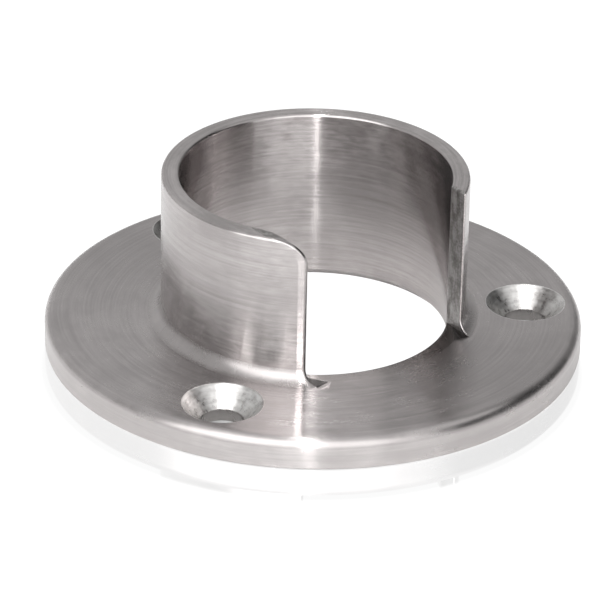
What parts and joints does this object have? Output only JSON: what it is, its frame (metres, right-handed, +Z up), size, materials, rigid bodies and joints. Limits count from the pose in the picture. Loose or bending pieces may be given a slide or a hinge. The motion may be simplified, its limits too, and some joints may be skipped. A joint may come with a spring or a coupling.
{
  "type": "stanchion base",
  "caption": "Round screw-down base flange with an upright slotted collar that holds the foot of a slotted tube post.",
  "frame": {"origin": "centre of the flange's underside, on the collar's axis", "axes": "+Z up the collar's axis, away from the deck; the slot in the collar faces -Y; +X to the right of the slot seen from above with the slot at the bottom"},
  "size_m": [0.085, 0.085, 0.029],
  "materials": {
    "plate_steel": "face-turned stainless steel with fine concentric marks",
    "collar_steel": "stainless pipe brushed round its axis, with rough-cut slot faces",
    "weld_steel": "stainless weld metal ground smooth"
  },
  "bodies": {
    "root": {"flange_plate": "plate_steel", "collar_sleeve": "collar_steel", "root_weld": "weld_steel", "seal_weld": "weld_steel"}
  },
  "joints": []
}
